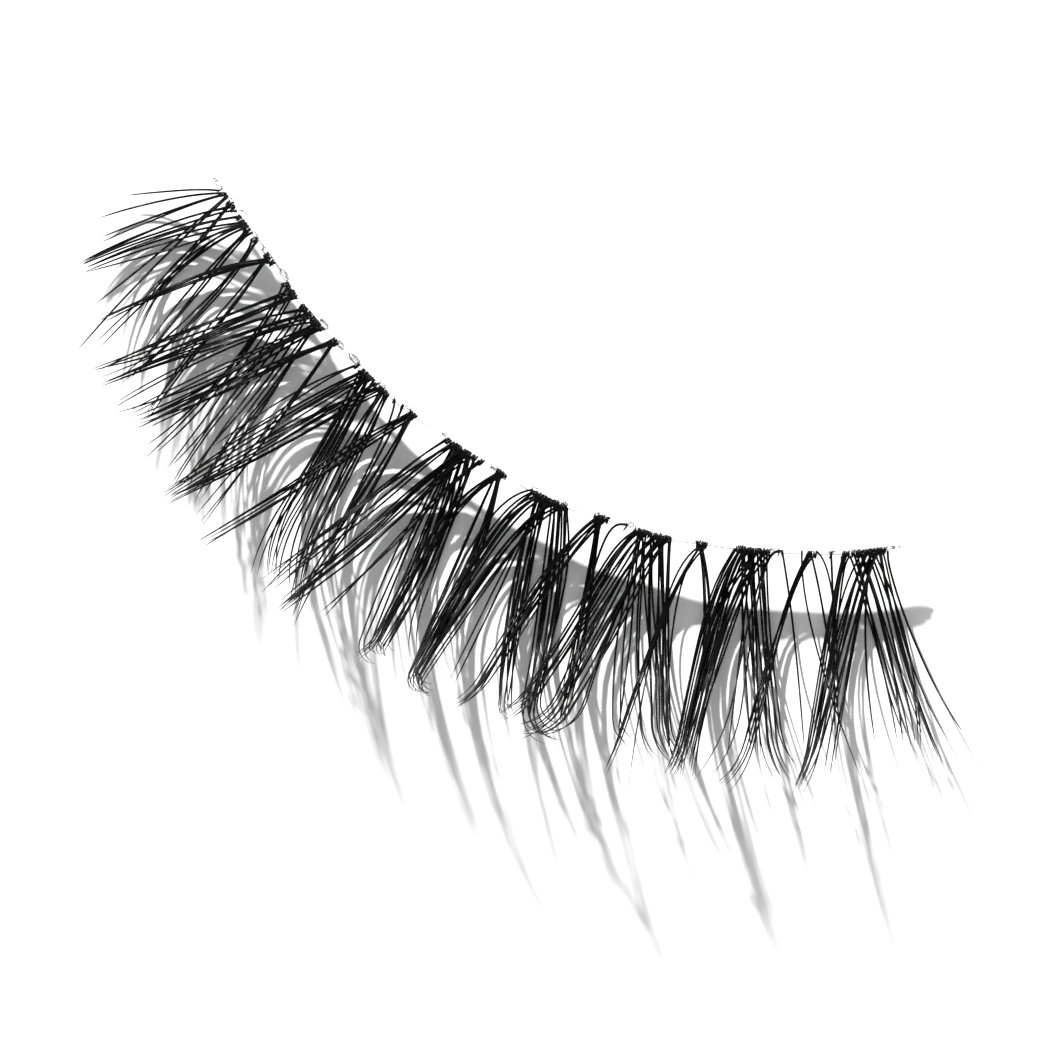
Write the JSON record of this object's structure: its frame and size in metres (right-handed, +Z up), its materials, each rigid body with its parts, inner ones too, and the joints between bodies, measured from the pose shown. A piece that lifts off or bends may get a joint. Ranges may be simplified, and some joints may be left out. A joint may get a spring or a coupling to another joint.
{
  "type": "false eyelash strip",
  "caption": "Strip of black curled false lashes: thin clear arched band carrying tufts of tapered fibres that cross in fans, lying belly down with tips curled up.",
  "frame": {"origin": "on the surface that the hairs rest on, under the middle of the overall box", "axes": "+X along the band's chord, from the end with the low sideways hairs (the left end in the picture) to the other end; +Y to the band's hollow, eyelid side, away from the hairs; +Z up"},
  "size_m": [0.0396, 0.0146, 0.0066],
  "materials": {
    "band": "clear, colourless, slightly lumpy where the glue lies",
    "fibre": "near-black fibre with a soft narrow sheen"
  },
  "bodies": {
    "root": {"band": "band", "tuft_01": "fibre", "tuft_02": "fibre", "tuft_03": "fibre", "tuft_04": "fibre", "tuft_05": "fibre", "tuft_06": "fibre", "tuft_07": "fibre", "tuft_08": "fibre", "tuft_09": "fibre", "tuft_10": "fibre", "tuft_11": "fibre", "tuft_12": "fibre", "tuft_13": "fibre", "tuft_14": "fibre", "tuft_15": "fibre", "tuft_16": "fibre", "tuft_17": "fibre", "tuft_18": "fibre"}
  },
  "joints": []
}
